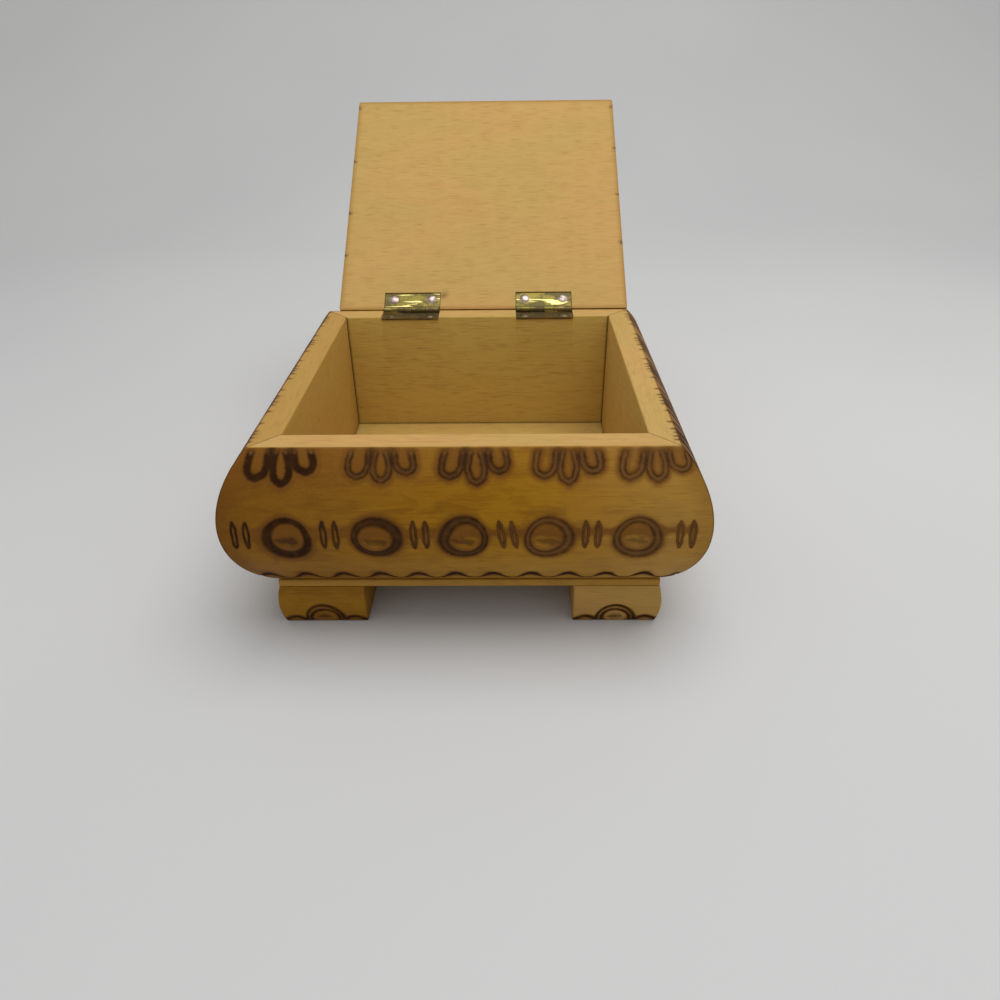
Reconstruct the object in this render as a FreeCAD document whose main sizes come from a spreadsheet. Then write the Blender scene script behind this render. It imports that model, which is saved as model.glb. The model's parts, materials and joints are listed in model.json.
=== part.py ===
import FreeCAD, Part
import math
import operator
import os
import Sketcher

# A hinged wooden trinket box: four swelling mitred walls on a thin base plate with four block feet,
# and a flat lid on two small butt hinges, modelled with the lid laid back on its stop.
# X runs to the right, Y to the back and Z up; the origin is on the table under the middle of the box.

Vector = FreeCAD.Vector
doc = FreeCAD.newDocument("TrinketBox")
sheet = doc.addObject("Spreadsheet::Sheet", "Sizes")

# Driving dimensions in millimetres
dimensions = [
    ("inner_width", 74.7, "clear width between the side walls"),
    ("inner_depth", 73.3, "clear depth between the front and rear walls"),
    ("wall_height", 33.6, "walls, from the base plate to the rim"),
    ("rim_width", 5.85, "flat top of a wall"),
    ("bulge", 6.6, "swell of a wall past its rim, at half height"),
    ("wall_tuck", 1.5, "tuck of a wall's foot, in from the outer edge of its rim"),
    ("rim_round", 0.4, "rounding of the rim's two long edges"),
    ("base_thickness", 1.8, "base plate"),
    ("base_ledge", 0.65, "base plate, out past the feet of the walls"),
    ("base_round", 0.4, "rounding of the base plate's upper edges"),
    ("foot_side", 19.0, "a foot is square in plan"),
    ("foot_height", 10.1, "from the table to the base plate"),
    ("foot_swell", 0.7, "swell of a foot's two outer faces, at half height"),
    ("foot_tuck", 0.2, "tuck of those faces at the table"),
    ("lid_thickness", 6.0, "lid panel"),
    ("lid_side_margin", 1.2, "lid, in from each side of the rim"),
    ("lid_front_margin", 1.6, "lid, in from the front of the rim"),
    ("lid_shift", 1.5, "the lid is hung this much to the right"),
    ("lid_setback", 0.6, "lid's rear face, in front of the hinge axis"),
    ("lid_gap", 0.2, "closed lid above the rim"),
    ("stop_gap", 0.34, "laid-back lid's rear face, off the rear wall"),
    ("lid_round", 1.2, "rounding of the lid's upper edges"),
    ("lid_corner_round", 0.8, "rounding of the lid's four corners"),
    ("hinge_spacing", 38.4, "between the middles of the two hinges"),
    ("hinge_length", 16.0, "along the axis"),
    ("knuckle_radius", 0.95, "outside of a rolled knuckle"),
    ("knuckle_gap", 0.12, "between neighbouring knuckles"),
    ("knuckle_relief", 0.15, "wood and slots, clear of a turning knuckle"),
    ("leaf_thickness", 0.5, "sheet that a leaf is rolled from"),
    ("leaf_overhang", 0.25, "leaf's free edge, past the width of the rim"),
    ("leaf_clearance", 0.2, "notch, past each end of a leaf"),
    ("pin_radius", 0.42, "hinge pin"),
    ("pin_clearance", 0.04, "bore of a knuckle, round the pin"),
    ("nail_spacing", 11.2, "between the two nails of a leaf"),
    ("nail_inset", 2.0, "middle of a nail, in from the free edge of its leaf"),
    ("nail_head_radius", 1.45, "domed head"),
    ("nail_head_height", 0.4, "domed head"),
    ("nail_radius", 0.5, "shank"),
    ("nail_clearance", 0.05, "holes round a shank"),
    ("nail_cover", 1.2, "wood left over the tip of a nail in the lid"),
]


class Formula:
    """A value worked out from the sheet, and the expression that keeps it up to date."""

    def __init__(self, value, text):
        self.value = value
        self.text = text

    def __add__(self, other):
        return join(self, "+", other)

    def __radd__(self, other):
        return join(other, "+", self)

    def __sub__(self, other):
        return join(self, "-", other)

    def __rsub__(self, other):
        return join(other, "-", self)

    def __mul__(self, other):
        return join(self, "*", other)

    def __rmul__(self, other):
        return join(other, "*", self)

    def __truediv__(self, other):
        return join(self, "/", other)

    def __neg__(self):
        return Formula(-self.value, f"(-{self.text})")


KNUCKLES = 4
TOLERANCE = 0.01
OPERATIONS = {"+": operator.add, "-": operator.sub, "*": operator.mul, "/": operator.truediv}


def formula(number):
    return number if isinstance(number, Formula) else Formula(number, f"({number})")


def join(left, sign, right):
    left = formula(left)
    right = formula(right)
    value = OPERATIONS[sign](left.value, right.value)
    return Formula(value, f"({left.text} {sign} {right.text})")


def root(square):
    return Formula(math.sqrt(square.value), f"sqrt({square.text})")


def arc_tangent(ratio):
    return Formula(math.degrees(math.atan(ratio.value)), f"atan({ratio.text})")


def arc_cosine(ratio):
    return Formula(math.degrees(math.acos(ratio.value)), f"acos({ratio.text})")


def fill_sheet():
    cells = {}
    for row, (name, value, note) in enumerate(dimensions, start=1):
        sheet.set(f"A{row}", name)
        sheet.set(f"B{row}", str(value))
        sheet.set(f"C{row}", note)
        sheet.setAlias(f"B{row}", name)
        cells[name] = Formula(value, f"Sizes.{name}")
    doc.recompute()
    return cells


size = fill_sheet()

# Levels, from the table up
base_level = size["foot_height"]
wall_level = base_level + size["base_thickness"]
rim_level = wall_level + size["wall_height"]
axis_level = rim_level + size["lid_gap"] / 2

# Plan of the box
rim_outer_width = size["inner_width"] + 2 * size["rim_width"]
rim_outer_depth = size["inner_depth"] + 2 * size["rim_width"]
wall_foot = size["rim_width"] - size["wall_tuck"]
base_width = size["inner_width"] + 2 * (wall_foot + size["base_ledge"])
base_depth = size["inner_depth"] + 2 * (wall_foot + size["base_ledge"])

# The hinge axis runs along the outer rear edge of the rim
axis_back = rim_outer_depth / 2
hinge_offset = size["hinge_spacing"] / 2
leaf_width = size["rim_width"] + size["leaf_overhang"]
bore_radius = size["pin_radius"] + size["pin_clearance"]
knuckle_pitch = size["hinge_length"] / KNUCKLES
notch_depth = size["knuckle_radius"] - size["lid_gap"] / 2
notch_length = size["hinge_length"] + 2 * size["leaf_clearance"]
nail_reach = leaf_width - size["nail_inset"]
nail_seat = size["knuckle_radius"] - size["leaf_thickness"]
nail_depth = size["lid_thickness"] - notch_depth - size["nail_cover"]
nail_hole_radius = size["nail_radius"] + size["nail_clearance"]

lid_width = rim_outer_width - 2 * size["lid_side_margin"]
lid_depth = rim_outer_depth - size["lid_setback"] - size["lid_front_margin"]

# The outer face of a wall is one arc from its rim to its foot. Its circle, with the rim's edge as
# origin, is x * x + z * z + arc_out * x + arc_up * z = 0.
half_height = size["wall_height"] / 2
arc_out = (
    size["wall_tuck"] * size["wall_tuck"] + 2 * half_height * half_height
    - 2 * size["bulge"] * size["bulge"]
) / (size["wall_tuck"] + 2 * size["bulge"])
arc_up = (
    size["bulge"] * size["bulge"] + half_height * half_height + arc_out * size["bulge"]
) / half_height
arc_radius = root(arc_out * arc_out + arc_up * arc_up) / 2

# The lid lies back until its square rear face meets the slope of the rear wall
slope_at_rim = arc_tangent(arc_up / arc_out)
slope_at_stop = arc_cosine(1 - (size["lid_setback"] - size["stop_gap"]) / arc_radius)
half_turn = Formula(180, "180 deg")
open_angle = half_turn - slope_at_rim + slope_at_stop


def new_body(label):
    body = doc.addObject("PartDesign::Body", label)
    body.Label = label
    return body


def new_sketch(body, name, plane, offset=None):
    """A sketch on one of the body's own planes, moved along the plane's normal by offset."""
    sketch = body.newObject("Sketcher::SketchObject", name)
    support = [feature for feature in body.Origin.OriginFeatures if feature.Role == plane]
    sketch.AttachmentSupport = (support[0], [""])
    sketch.MapMode = "FlatFace"
    if offset is not None:
        sketch.AttachmentOffset = FreeCAD.Placement(Vector(0, 0, offset.value), FreeCAD.Rotation())
        sketch.setExpression("AttachmentOffset.Base.z", offset.text)
    return sketch


def spot(point):
    return Vector(formula(point[0]).value, formula(point[1]).value, 0)


def constrain(sketch, kind, references, value):
    index = sketch.addConstraint(Sketcher.Constraint(kind, *references, value.value))
    sketch.setExpression(f"Constraints[{index}]", value.text)


def pin_down(sketch, geometry, end, point):
    constrain(sketch, "DistanceX", (-1, 1, geometry, end), formula(point[0]))
    constrain(sketch, "DistanceY", (-1, 1, geometry, end), formula(point[1]))


def draw_outline(sketch, corners, arcs=None):
    """A closed outline; arcs gives, by corner number, a point that the side after it bends through."""
    arcs = arcs or {}
    sides = []
    for number, corner in enumerate(corners):
        start = spot(corner)
        end = spot(corners[(number + 1) % len(corners)])
        if number in arcs:
            side = sketch.addGeometry(Part.Arc(start, spot(arcs[number]), end), False)
            through = sketch.addGeometry(Part.Point(spot(arcs[number])), True)
            sketch.addConstraint(Sketcher.Constraint("PointOnObject", through, 1, side))
            pin_down(sketch, through, 1, arcs[number])
        else:
            side = sketch.addGeometry(Part.LineSegment(start, end), False)
        turned = (sketch.getPoint(side, 1) - start).Length > (sketch.getPoint(side, 2) - start).Length
        sides.append((side, 2, 1) if turned else (side, 1, 2))
    for number, (side, first, last) in enumerate(sides):
        follower, start = sides[(number + 1) % len(sides)][:2]
        sketch.addConstraint(Sketcher.Constraint("Coincident", side, last, follower, start))
        pin_down(sketch, side, first, corners[number])


def draw_rectangle(sketch, left, right, bottom, top):
    draw_outline(sketch, [(left, bottom), (right, bottom), (right, top), (left, top)])


def draw_circle(sketch, centre, radius):
    circle = sketch.addGeometry(Part.Circle(spot(centre), Vector(0, 0, 1), radius.value), False)
    pin_down(sketch, circle, 3, centre)
    constrain(sketch, "Radius", (circle,), radius)


def pad(body, name, sketch, length, symmetric=False):
    feature = body.newObject("PartDesign::Pad", name)
    feature.Profile = sketch
    feature.SideType = "Symmetric" if symmetric else "One side"
    feature.Length = length.value
    feature.setExpression("Length", length.text)
    doc.recompute()
    return feature


def cut(body, name, sketch, depth=None, symmetric=False, upward=False):
    """A pocket right through, or of the given depth, that has to take some of the body away."""
    before = body.Shape.Volume
    feature = body.newObject("PartDesign::Pocket", name)
    feature.Profile = sketch
    feature.SideType = "Symmetric" if symmetric else "One side"
    feature.Reversed = upward
    if depth is None:
        feature.Type = "ThroughAll"
    else:
        feature.Length = depth.value
        feature.setExpression("Length", depth.text)
    doc.recompute()
    if feature.Shape.Volume >= before:
        raise RuntimeError(f"{name} takes nothing away from {body.Label}")
    return feature


def round_edges(body, name, wanted, radius):
    """Rounds every edge of the body so far whose bounding box passes the wanted test."""
    base = body.Tip
    edges = [
        f"Edge{number}"
        for number, edge in enumerate(base.Shape.Edges, start=1)
        if wanted(edge.BoundBox)
    ]
    feature = body.newObject("PartDesign::Fillet", name)
    feature.Base = (base, edges)
    feature.Radius = radius.value
    feature.setExpression("Radius", radius.text)
    doc.recompute()
    return feature


def near(first, second):
    return abs(first - formula(second).value) < TOLERANCE


def put(body, across, back, up, turn=0):
    """Sets the body's place and its turn about the vertical."""
    place = Vector(formula(across).value, formula(back).value, formula(up).value)
    body.Placement = FreeCAD.Placement(place, FreeCAD.Rotation(Vector(0, 0, 1), turn))
    body.setExpression("Placement.Base.x", formula(across).text)
    body.setExpression("Placement.Base.y", formula(back).text)
    body.setExpression("Placement.Base.z", formula(up).text)


def hang_on_axis(body, across, opened):
    """Puts a piece drawn about the hinge axis in its place; what belongs to the lid is laid back."""
    put(body, across, axis_back, axis_level)
    if opened:
        place = body.Placement.Base
        body.Placement = FreeCAD.Placement(place, FreeCAD.Rotation(Vector(-1, 0, 0), open_angle.value))
        body.setExpression("Placement.Rotation.Angle", open_angle.text)


def wall(label, run):
    """A wall drawn with its inner face on the XZ plane and its outer side towards -Y."""
    body = new_body(label)
    rim = size["rim_width"]
    height = size["wall_height"]
    reach = rim + 2 * size["bulge"]
    section = new_sketch(body, f"{label}_section", "YZ_Plane")
    corners = [(0, 0), (0, height), (-rim, height), (-wall_foot, 0)]
    draw_outline(section, corners, arcs={2: (-(rim + size["bulge"]), half_height)})
    pad(body, f"{label}_length", section, run + 2 * reach, symmetric=True)
    round_edges(
        body,
        f"{label}_rim_edges",
        lambda box: near(box.ZMin, height) and near(box.YLength, 0) and box.XLength > rim.value,
        size["rim_round"],
    )
    mitres = new_sketch(body, f"{label}_mitre_lines", "XY_Plane")
    for side in (-1, 1):
        inner = side * run / 2
        outer = side * (run / 2 + reach)
        draw_outline(mitres, [(inner, 0), (outer, -reach), (outer, reach), (inner, reach)])
    cut(body, f"{label}_mitres", mitres, symmetric=True)
    return body


def notch_rear_wall(body):
    """Lets the box leaves of both hinges into the rim, with round relief under the knuckles."""
    label = body.Label
    floor = size["wall_height"] - notch_depth
    axis_up = size["wall_height"] + size["lid_gap"] / 2
    axis_out = -size["rim_width"]
    over = size["wall_height"] + size["rim_width"]
    outside = axis_out - size["rim_width"]
    relief = size["knuckle_radius"] + size["knuckle_relief"]
    for side, name in ((-1, "right"), (1, "left")):
        leaf_notch = new_sketch(body, f"{label}_{name}_notch_shape", "YZ_Plane", side * hinge_offset)
        draw_rectangle(leaf_notch, outside, size["rim_width"], floor, over)
        cut(body, f"{label}_{name}_notch", leaf_notch, notch_length, symmetric=True)
        knuckle_bed = new_sketch(body, f"{label}_{name}_bed_shape", "YZ_Plane", side * hinge_offset)
        draw_circle(knuckle_bed, (axis_out, axis_up), relief)
        cut(body, f"{label}_{name}_knuckle_bed", knuckle_bed, notch_length, symmetric=True)
    holes = new_sketch(body, f"{label}_nail_hole_places", "XY_Plane", floor)
    draw_nail_holes(holes, axis_out + nail_reach)
    cut(body, f"{label}_nail_holes", holes, nail_depth + size["nail_clearance"])


def draw_nail_holes(sketch, back):
    for side in (-1, 1):
        for end in (-1, 1):
            across = side * hinge_offset + end * size["nail_spacing"] / 2
            draw_circle(sketch, (across, back), nail_hole_radius)


def base_plate():
    body = new_body("base_plate")
    plan = new_sketch(body, "base_plan", "XY_Plane")
    draw_rectangle(plan, -base_width / 2, base_width / 2, -base_depth / 2, base_depth / 2)
    pad(body, "base_slab", plan, size["base_thickness"])
    round_edges(
        body,
        "base_upper_edges",
        lambda box: near(box.ZMin, size["base_thickness"]),
        size["base_round"],
    )
    put(body, 0, 0, base_level)
    return body


def foot(label):
    """A block foot with its outer corner upright on the Z axis and its two outer faces swelling."""
    body = new_body(label)
    side = size["foot_side"]
    height = size["foot_height"]
    spare = 2 * size["foot_swell"]
    middle = (-size["foot_swell"], height / 2)
    section = new_sketch(body, f"{label}_section", "YZ_Plane", -spare)
    corners = [(side, 0), (side, height), (0, height), (size["foot_tuck"], 0)]
    draw_outline(section, corners, arcs={2: middle})
    pad(body, f"{label}_block", section, side + spare)
    waste = new_sketch(body, f"{label}_waste", "XZ_Plane")
    corners = [(0, height), (size["foot_tuck"], 0), (-spare, 0), (-spare, height)]
    draw_outline(waste, corners, arcs={0: middle})
    cut(body, f"{label}_side_face", waste, symmetric=True)
    return body


def lid_panel():
    """The lid, drawn closed about the hinge axis."""
    body = new_body("lid_panel")
    left = size["lid_shift"] - lid_width / 2
    right = size["lid_shift"] + lid_width / 2
    rear = -size["lid_setback"]
    front = rear - lid_depth
    underside = size["lid_gap"] / 2
    plan = new_sketch(body, "lid_plan", "XY_Plane", underside)
    draw_rectangle(plan, left, right, front, rear)
    pad(body, "lid_slab", plan, size["lid_thickness"])
    round_edges(
        body,
        "lid_corners",
        lambda box: near(box.ZLength, size["lid_thickness"]),
        size["lid_corner_round"],
    )
    round_edges(
        body,
        "lid_upper_edges",
        lambda box: near(box.ZMin, underside + size["lid_thickness"]),
        size["lid_round"],
    )
    mortises = new_sketch(body, "lid_mortise_shapes", "XY_Plane", underside)
    free_edge = -(leaf_width + size["leaf_clearance"])
    for side in (-1, 1):
        start = side * hinge_offset - notch_length / 2
        draw_rectangle(mortises, start, start + notch_length, free_edge, size["rim_width"])
    cut(body, "lid_mortises", mortises, notch_depth, upward=True)
    holes = new_sketch(body, "lid_nail_hole_places", "XY_Plane", underside)
    draw_nail_holes(holes, -nail_reach)
    cut(body, "lid_nail_holes", holes, notch_depth + nail_depth + size["nail_clearance"], upward=True)
    hang_on_axis(body, 0, opened=True)
    return body


def hinge_leaf(label, across, on_lid):
    """A rolled leaf about the hinge axis: over it for the lid, under it for the box."""
    body = new_body(label)
    up = 1 if on_lid else -1
    radius = size["knuckle_radius"]
    inner = radius - size["leaf_thickness"]
    meet = root(radius * radius - inner * inner)
    profile = new_sketch(body, f"{label}_profile", "YZ_Plane")
    corners = [
        (-leaf_width, up * inner),
        (-leaf_width, up * radius),
        (0, up * radius),
        (-meet, up * inner),
    ]
    draw_outline(profile, corners, arcs={2: (radius, 0)})
    draw_circle(profile, (0, 0), bore_radius)
    pad(body, f"{label}_roll", profile, size["hinge_length"], symmetric=True)
    # Counted from the left, the first and third knuckles are the lid's
    slots = new_sketch(body, f"{label}_slot_shapes", "XY_Plane")
    clear = radius + size["knuckle_relief"]
    for number in range(KNUCKLES):
        if (number % 2 == 0) == on_lid:
            continue
        start = number * knuckle_pitch - size["hinge_length"] / 2
        low = start - size["knuckle_gap"] / 2
        high = start + knuckle_pitch + size["knuckle_gap"] / 2
        draw_rectangle(slots, low, high, -clear, clear)
    cut(body, f"{label}_slots", slots, symmetric=True)
    holes = new_sketch(body, f"{label}_nail_hole_places", "XY_Plane")
    for end in (-1, 1):
        draw_circle(holes, (end * size["nail_spacing"] / 2, -nail_reach), nail_hole_radius)
    cut(body, f"{label}_nail_holes", holes, symmetric=True)
    hang_on_axis(body, across, opened=on_lid)
    return body


def hinge_pin(label, across):
    body = new_body(label)
    section = new_sketch(body, f"{label}_section", "YZ_Plane")
    draw_circle(section, (0, 0), size["pin_radius"])
    pad(body, f"{label}_rod", section, size["hinge_length"], symmetric=True)
    hang_on_axis(body, across, opened=False)
    return body


def hinge_nails(label, across, on_lid):
    """The two nails of a leaf: a domed head on the leaf's inner face, and a shank with a tapered tip."""
    body = new_body(label)
    up = -1 if on_lid else 1
    seat = -up * nail_seat
    shank = size["leaf_thickness"] + nail_depth
    taper = 2 * size["nail_radius"]
    profile = new_sketch(body, f"{label}_profile", "YZ_Plane", -size["nail_spacing"] / 2)
    head = size["nail_head_radius"]
    height = size["nail_head_height"]
    # The head is the cap of a ball, drawn through the point above half its radius
    ball = (head * head + height * height) / (2 * height)
    shoulder = height - ball + root(ball * ball - head * head / 4)
    corners = [
        (-nail_reach, seat + up * height),
        (head - nail_reach, seat),
        (size["nail_radius"] - nail_reach, seat),
        (size["nail_radius"] - nail_reach, seat - up * (shank - taper)),
        (-nail_reach, seat - up * shank),
    ]
    draw_outline(profile, corners, arcs={0: (head / 2 - nail_reach, seat + up * shoulder)})
    turned = body.newObject("PartDesign::Revolution", f"{label}_turned")
    turned.Profile = profile
    turned.ReferenceAxis = (profile, ["Edge5"])
    doc.recompute()
    pair = body.newObject("PartDesign::LinearPattern", f"{label}_pair")
    pair.Originals = [turned]
    across_axis = [feature for feature in body.Origin.OriginFeatures if feature.Role == "X_Axis"]
    pair.Direction = (across_axis[0], [""])
    pair.Length = size["nail_spacing"].value
    pair.setExpression("Length", size["nail_spacing"].text)
    pair.Occurrences = 2
    body.Tip = pair
    doc.recompute()
    hang_on_axis(body, across, opened=on_lid)
    return body


def build_walls():
    half_width = size["inner_width"] / 2
    half_depth = size["inner_depth"] / 2
    walls = []
    for label, run, across, back, turn in (
        ("front_wall", size["inner_width"], 0, -half_depth, 0),
        ("right_wall", size["inner_depth"], half_width, 0, 90),
        ("rear_wall", size["inner_width"], 0, half_depth, 180),
        ("left_wall", size["inner_depth"], -half_width, 0, 270),
    ):
        body = wall(label, run)
        if label == "rear_wall":
            notch_rear_wall(body)
        put(body, across, back, wall_level, turn)
        walls.append(body)
    return walls


def build_feet():
    feet = []
    for label, side, end, turn in (
        ("front_left_foot", -1, -1, 0),
        ("front_right_foot", 1, -1, 90),
        ("rear_right_foot", 1, 1, 180),
        ("rear_left_foot", -1, 1, 270),
    ):
        body = foot(label)
        put(body, side * base_width / 2, end * base_depth / 2, 0, turn)
        feet.append(body)
    return feet


def build_hinges():
    pieces = []
    for name, side in (("left", -1), ("right", 1)):
        across = side * hinge_offset
        pieces.append(hinge_leaf(f"{name}_hinge_box_leaf", across, on_lid=False))
        pieces.append(hinge_leaf(f"{name}_hinge_lid_leaf", across, on_lid=True))
        pieces.append(hinge_pin(f"{name}_hinge_pin", across))
        pieces.append(hinge_nails(f"{name}_hinge_box_nails", across, on_lid=False))
        pieces.append(hinge_nails(f"{name}_hinge_lid_nails", across, on_lid=True))
    return pieces


def check_and_export(pieces):
    doc.recompute()
    for item in doc.Objects:
        if "Invalid" in item.State or "Error" in item.State:
            raise RuntimeError(f"{item.Label} failed: {item.State}")
    for piece in pieces:
        if piece.Shape.isNull() or not piece.Shape.isValid():
            raise RuntimeError(f"{piece.Label} has no valid shape")
    os.makedirs("parts", exist_ok=True)
    for piece in pieces:
        piece.Shape.exportStep(f"parts/{piece.Label}.step")
        print(piece.Label, len(piece.Shape.Solids), "solid(s)", round(piece.Shape.Volume, 2), "mm3")
    print("hinge axis at y", round(axis_back.value, 3), "z", round(axis_level.value, 3))
    print("lid laid back by", round(open_angle.value, 3), "degrees")


pieces = build_walls() + [base_plate()] + build_feet() + [lid_panel()] + build_hinges()
check_and_export(pieces)
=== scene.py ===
import json
import math

import bmesh
import bpy
import numpy as np
from mathutils import Matrix, Vector


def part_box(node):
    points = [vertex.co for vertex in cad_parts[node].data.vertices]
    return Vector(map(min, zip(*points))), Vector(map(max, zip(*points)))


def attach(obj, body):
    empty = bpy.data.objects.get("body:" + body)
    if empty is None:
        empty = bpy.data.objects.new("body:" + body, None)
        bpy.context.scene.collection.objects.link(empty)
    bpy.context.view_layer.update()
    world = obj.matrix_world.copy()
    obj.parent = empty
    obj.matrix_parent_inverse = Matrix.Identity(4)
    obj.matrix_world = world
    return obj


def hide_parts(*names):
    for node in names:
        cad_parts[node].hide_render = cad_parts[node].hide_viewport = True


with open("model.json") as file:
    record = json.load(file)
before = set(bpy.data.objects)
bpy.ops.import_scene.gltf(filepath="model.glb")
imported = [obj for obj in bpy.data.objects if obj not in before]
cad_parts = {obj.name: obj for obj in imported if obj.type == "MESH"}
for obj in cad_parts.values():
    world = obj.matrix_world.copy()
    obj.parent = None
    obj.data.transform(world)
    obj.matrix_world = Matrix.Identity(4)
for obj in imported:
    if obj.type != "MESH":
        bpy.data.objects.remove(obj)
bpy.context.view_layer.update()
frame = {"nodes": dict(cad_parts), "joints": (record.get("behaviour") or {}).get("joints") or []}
mm = 0.001
quarter = math.pi / 2
dice = np.random.default_rng(41)
print("frame loaded:", len(frame["nodes"]), "nodes")


def corners(node):
    return [np.array(corner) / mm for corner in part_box(node)]


# Measures from the frame, in millimetres like every length below but the stage's
frontLow, frontHigh = corners("front_wall")
rightLow = corners("right_wall")[0]
baseLow, baseHigh = corners("base_plate")
lidLow, lidHigh = corners("lid_panel")
lidHinge = frame["joints"][0]
axisBack = lidHinge["pos_m"][1] / mm
axisLevel = lidHinge["pos_m"][2] / mm
laidBack = math.radians(lidHinge["range_deg"][1])
innerX = rightLow[0]
innerY = -frontHigh[1]
rimWidth = axisBack - innerY
wallFoot = frontLow[2]
rimLevel = frontHigh[2]

# Camera, at the place and tilt that the photograph was taken from
shot = {
    "place": (9.40, -175.66, 116.03),
    "pitch": 31.885,  # degrees below level
    "yaw": -0.955,
    "roll": 0.725,
    "lens": 27.52,
    "nearClip": 5.0,
}


def addCamera():
    pitch, yaw, roll = (math.radians(shot[key]) for key in ("pitch", "yaw", "roll"))
    ahead = Vector((math.sin(yaw) * math.cos(pitch), math.cos(yaw) * math.cos(pitch), -math.sin(pitch)))
    level = Vector((math.cos(yaw), -math.sin(yaw), 0))
    down = ahead.cross(level)
    right = math.cos(roll) * level + math.sin(roll) * down
    up = math.sin(roll) * level - math.cos(roll) * down
    data = bpy.data.cameras.new("camera")
    data.lens = shot["lens"]
    data.clip_start = shot["nearClip"] * mm
    camera = bpy.data.objects.new("camera", data)
    turn = Matrix((right, up, -ahead)).transposed()
    camera.matrix_world = Matrix.Translation(Vector(shot["place"]) * mm) @ turn.to_4x4()
    bpy.context.scene.collection.objects.link(camera)
    bpy.context.scene.camera = camera


addCamera()
print("camera set")


# Shader maths: a Wire is one output socket, and sums on it add Math nodes to its material
class Wire:
    def __init__(self, paint, socket):
        self.paint = paint
        self.socket = socket

    def maths(self, operation, first, second):
        return self.paint.node("ShaderNodeMath", {"operation": operation}, {0: first, 1: second})

    def __add__(self, other):
        return self.maths("ADD", self, other)

    def __radd__(self, other):
        return self.maths("ADD", other, self)

    def __sub__(self, other):
        return self.maths("SUBTRACT", self, other)

    def __rsub__(self, other):
        return self.maths("SUBTRACT", other, self)

    def __mul__(self, other):
        return self.maths("MULTIPLY", self, other)

    def __rmul__(self, other):
        return self.maths("MULTIPLY", other, self)

    def __abs__(self):
        return self.maths("ABSOLUTE", self, 0.0)


class Paint:
    def __init__(self, name):
        self.material = bpy.data.materials.new(name)
        self.material.use_nodes = True
        self.tree = self.material.node_tree
        self.shader = self.tree.nodes["Principled BSDF"]

    def node(self, kind, settings, inputs, output=0):
        made = self.tree.nodes.new(kind)
        for key, value in settings.items():
            setattr(made, key, value)
        for key, value in inputs.items():
            self.feed(made.inputs[key], value)
        return Wire(self, made.outputs[output])

    def feed(self, socket, value):
        if isinstance(value, Wire):
            self.tree.links.new(value.socket, socket)
        else:
            socket.default_value = value

    def finish(self, **sockets):
        for name, value in sockets.items():
            self.feed(self.shader.inputs[name.replace("_", " ")], value)
        return self.material

    def field(self, name, output="Fac"):
        return self.node("ShaderNodeAttribute", {"attribute_name": name}, {}, output)

    def place(self):
        return self.node("ShaderNodeTexCoord", {}, {}, "Object")

    def stretch(self, vector, scale):
        return self.node("ShaderNodeVectorMath", {"operation": "MULTIPLY"}, {0: vector, 1: scale})

    def noise(self, vector, scale, detail=3.0, distortion=0.0):
        inputs = {"Vector": vector, "Scale": scale, "Detail": detail, "Distortion": distortion}
        return self.node("ShaderNodeTexNoise", {}, inputs)

    def step(self, value, low, high, atLow=0.0, atHigh=1.0):
        inputs = {0: value, 1: low, 2: high, 3: atLow, 4: atHigh}
        return self.node("ShaderNodeMapRange", {"interpolation_type": "SMOOTHSTEP"}, inputs)

    def blend(self, share, first, second):
        return self.node("ShaderNodeMix", {"data_type": "RGBA"}, {0: share, 6: first, 7: second}, 2)

    def bump(self, height, distance, strength):
        return self.node("ShaderNodeBump", {}, {"Strength": strength, "Distance": distance, "Height": height})


def tint(red, green, blue):  # a colour as a screen shows it, 0 to 255
    parts = []
    for part in (red, green, blue):
        share = part / 255
        parts.append(share / 12.92 if share <= 0.04045 else ((share + 0.055) / 1.055) ** 2.4)
    return (*parts, 1.0)


# Wood: pale and bare where varnish is 0, honey where it is 1, with burnt lines, soiled seams and painted
# shade
wood = {
    "bare": tint(200, 164, 99),
    "bareRosy": tint(203, 159, 98),
    "bareOlive": tint(193, 161, 94),
    "bareInner": tint(205, 174, 91),
    "ray": tint(162, 120, 64),
    "honey": tint(163, 115, 18),
    "honeyPale": tint(173, 127, 41),
    "honeyDark": tint(142, 96, 14),
    "scorchAndShade": tint(110, 66, 22),
    "char": tint(49, 26, 6),
    "ash": tint(122, 84, 46),
    "soil": tint(56, 32, 12),
    "rayShare": 0.54,  # of the ray tone in bare wood
    "mottleShare": 0.18,  # of the same tone in clouds
    "honeyRayShare": 0.26,  # of the scorched tone along the rays under varnish
    "haloShare": 0.75,  # of browning beside a burnt line
    "insideShare": 0.18,  # of browning inside a ring or loop
    "deepestBrownAndShade": 0.8,
    "bareRough": 0.7,
    "honeyRough": 0.46,
    "grooveRough": 0.14,  # added in burnt lines
    "coat": 0.03,
    "coatRough": 0.3,
    "specular": 0.07,
    "relief": 0.05,  # depth of the grain
}
# Noise per millimetre, along the grain and across it both ways, or the same all round
grainScale = {
    "cloud": (0.022, 0.034, 0.034),
    "bands": (0.02, 0.42, 0.42),
    "fibres": (0.2, 3.6, 3.6),
    "rays": (0.2, 4.0, 4.0),
    "mottle": (0.16, 0.3, 0.3),
    "speckle": 2.4,
    "blot": 0.5,
}
# Zones of a burnt line, in half widths from its middle: full up to the first, gone at the second
burnZone = {"bed": (0.1, 0.75), "groove": (0.65, 1.7), "halo": (0.7, 3.2)}


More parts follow.
